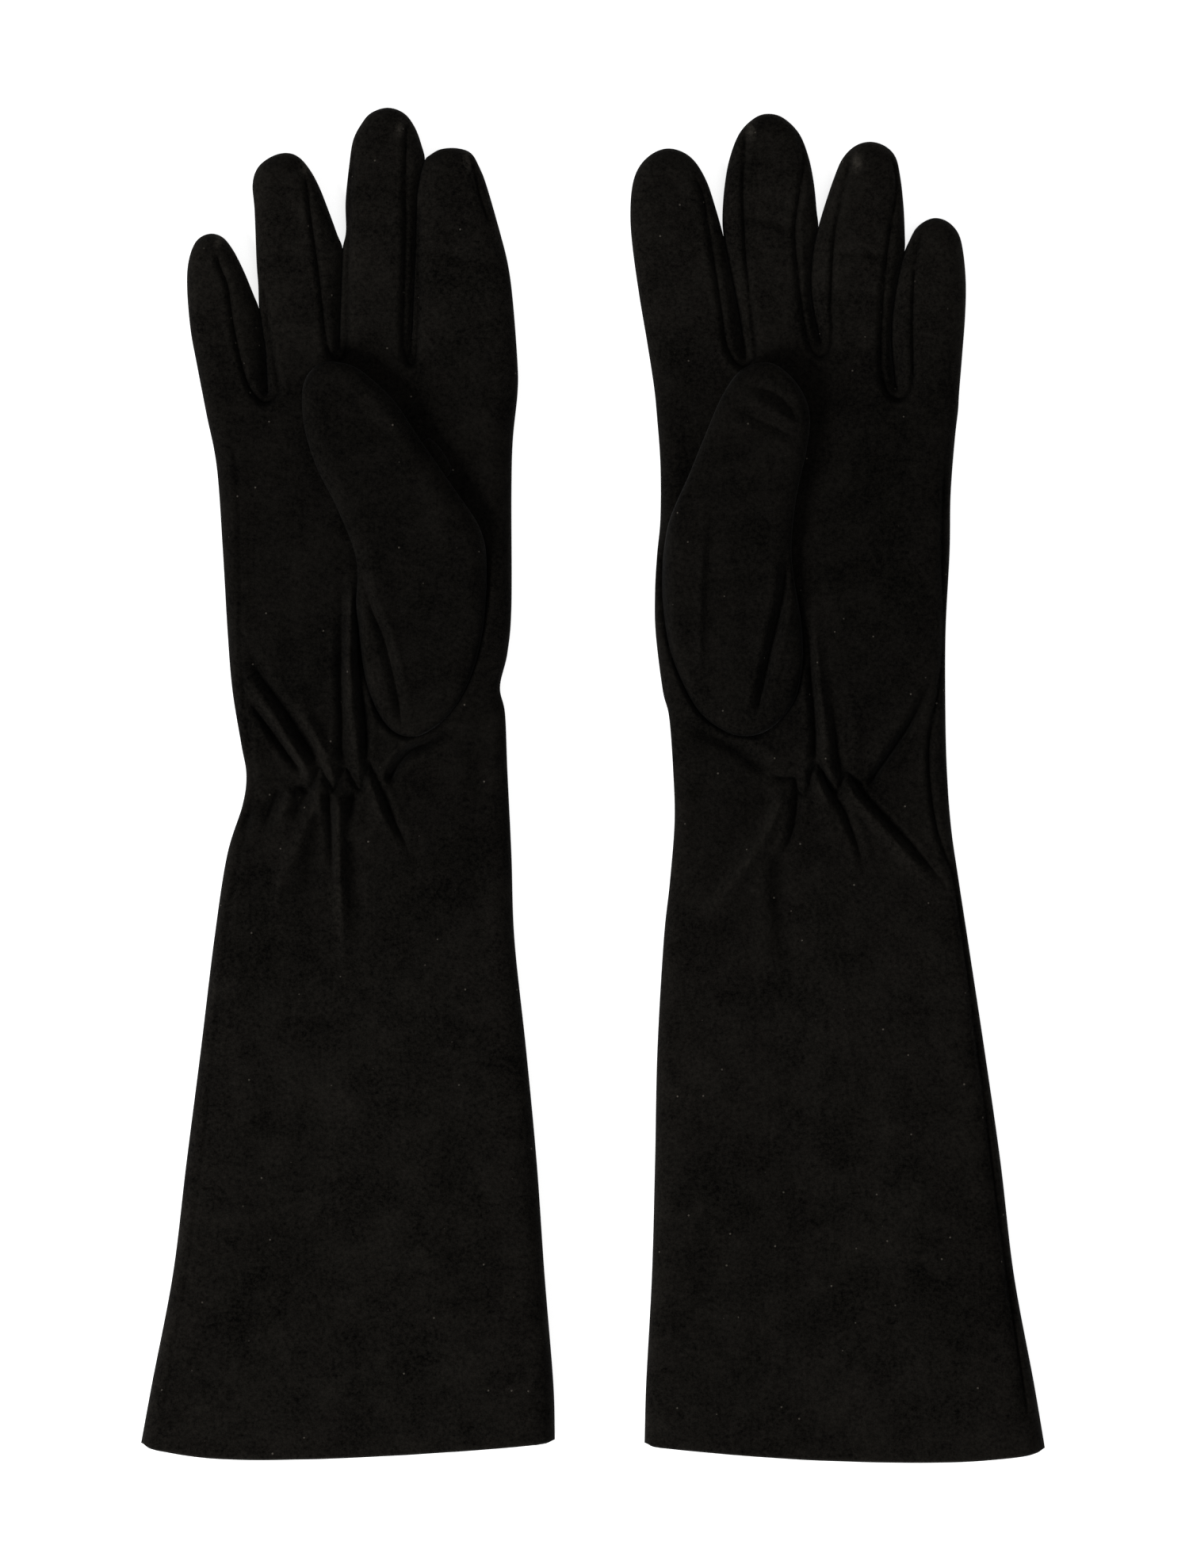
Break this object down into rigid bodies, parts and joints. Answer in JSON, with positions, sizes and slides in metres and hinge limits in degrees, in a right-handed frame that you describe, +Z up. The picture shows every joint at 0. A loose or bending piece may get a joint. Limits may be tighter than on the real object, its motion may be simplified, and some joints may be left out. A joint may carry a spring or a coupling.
{
  "type": "opera gloves",
  "caption": "Pair of long suede dress gloves with sewn fingers, inset thumbs and gathered wrists, laid flat with the palms up.",
  "frame": {"origin": "on the surface that the gloves lie on, under the middle of the pair's box", "axes": "+Y along the gloves towards the fingertips, +Z up out of the palms, +X towards the left-hand glove"},
  "size_m": [0.268, 0.3983, 0.02],
  "materials": {
    "suede": "matte napped suede",
    "elastic": "woven elastic tape"
  },
  "bodies": {
    "right_arm": {"right_arm_palm_skin": "suede", "right_arm_back_skin": "suede", "right_wrist_elastic": "elastic"},
    "right_hand": {"right_hand_palm_skin": "suede", "right_hand_back_skin": "suede", "right_thumb_base_skin": "suede"},
    "right_thumb": {"right_thumb_upper_skin": "suede", "right_thumb_lower_skin": "suede"},
    "right_index": {"right_index_palm_skin": "suede", "right_index_back_skin": "suede", "right_index_fourchette_by_middle": "suede"},
    "right_middle": {"right_middle_palm_skin": "suede", "right_middle_back_skin": "suede", "right_middle_fourchette_by_ring": "suede", "right_middle_fourchette_by_index": "suede"},
    "right_ring": {"right_ring_palm_skin": "suede", "right_ring_back_skin": "suede", "right_ring_fourchette_by_little": "suede", "right_ring_fourchette_by_middle": "suede"},
    "right_little": {"right_little_palm_skin": "suede", "right_little_back_skin": "suede", "right_little_fourchette_by_ring": "suede"},
    "left_arm": {"left_arm_palm_skin": "suede", "left_arm_back_skin": "suede", "left_wrist_elastic": "elastic"},
    "left_hand": {"left_hand_palm_skin": "suede", "left_hand_back_skin": "suede", "left_thumb_base_skin": "suede"},
    "left_thumb": {"left_thumb_upper_skin": "suede", "left_thumb_lower_skin": "suede"},
    "left_index": {"left_index_palm_skin": "suede", "left_index_back_skin": "suede", "left_index_fourchette_by_middle": "suede"},
    "left_middle": {"left_middle_palm_skin": "suede", "left_middle_back_skin": "suede", "left_middle_fourchette_by_ring": "suede", "left_middle_fourchette_by_index": "suede"},
    "left_ring": {"left_ring_palm_skin": "suede", "left_ring_back_skin": "suede", "left_ring_fourchette_by_little": "suede", "left_ring_fourchette_by_middle": "suede"},
    "left_little": {"left_little_palm_skin": "suede", "left_little_back_skin": "suede", "left_little_fourchette_by_ring": "suede"}
  },
  "joints": [
    {"name": "right_wrist_fold", "type": "hinge", "parent": "right_arm", "child": "right_hand", "pos_m": [-0.0646, 0, 0.011], "axis": [1, 0, 0], "range_deg": [0, 60]},
    {"name": "right_index_fold", "type": "hinge", "parent": "right_hand", "child": "right_index", "pos_m": [-0.0382, 0.124, 0.01], "axis": [1, 0, 0], "range_deg": [0, 80]},
    {"name": "right_middle_fold", "type": "hinge", "parent": "right_hand", "child": "right_middle", "pos_m": [-0.0644, 0.124, 0.01], "axis": [1, 0, 0], "range_deg": [0, 80]},
    {"name": "right_ring_fold", "type": "hinge", "parent": "right_hand", "child": "right_ring", "pos_m": [-0.0865, 0.124, 0.01], "axis": [1, 0, 0], "range_deg": [0, 80]},
    {"name": "right_little_fold", "type": "hinge", "parent": "right_hand", "child": "right_little", "pos_m": [-0.1074, 0.113, 0.01], "axis": [1, 0, 0], "range_deg": [0, 80]},
    {"name": "right_thumb_lift", "type": "hinge", "parent": "right_hand", "child": "right_thumb", "pos_m": [-0.051, 0.062, 0.02], "axis": [0.9063, 0.4226, 0], "range_deg": [0, 75]},
    {"name": "left_wrist_fold", "type": "hinge", "parent": "left_arm", "child": "left_hand", "pos_m": [0.0645, 0, 0.011], "axis": [1, 0, 0], "range_deg": [0, 60]},
    {"name": "left_index_fold", "type": "hinge", "parent": "left_hand", "child": "left_index", "pos_m": [0.0306, 0.124, 0.01], "axis": [1, 0, 0], "range_deg": [0, 80]},
    {"name": "left_middle_fold", "type": "hinge", "parent": "left_hand", "child": "left_middle", "pos_m": [0.0557, 0.124, 0.01], "axis": [1, 0, 0], "range_deg": [0, 80]},
    {"name": "left_ring_fold", "type": "hinge", "parent": "left_hand", "child": "left_ring", "pos_m": [0.0778, 0.124, 0.01], "axis": [1, 0, 0], "range_deg": [0, 80]},
    {"name": "left_little_fold", "type": "hinge", "parent": "left_hand", "child": "left_little", "pos_m": [0.0992, 0.113, 0.01], "axis": [1, 0, 0], "range_deg": [0, 80]},
    {"name": "left_thumb_lift", "type": "hinge", "parent": "left_hand", "child": "left_thumb", "pos_m": [0.039, 0.064, 0.02], "axis": [0.9659, -0.2588, 0], "range_deg": [0, 75]},
    {"name": "left_glove_lift", "type": "slide", "parent": "right_arm", "child": "left_arm", "axis": [0, 0, 1], "range_m": [0, 0.2]}
  ]
}
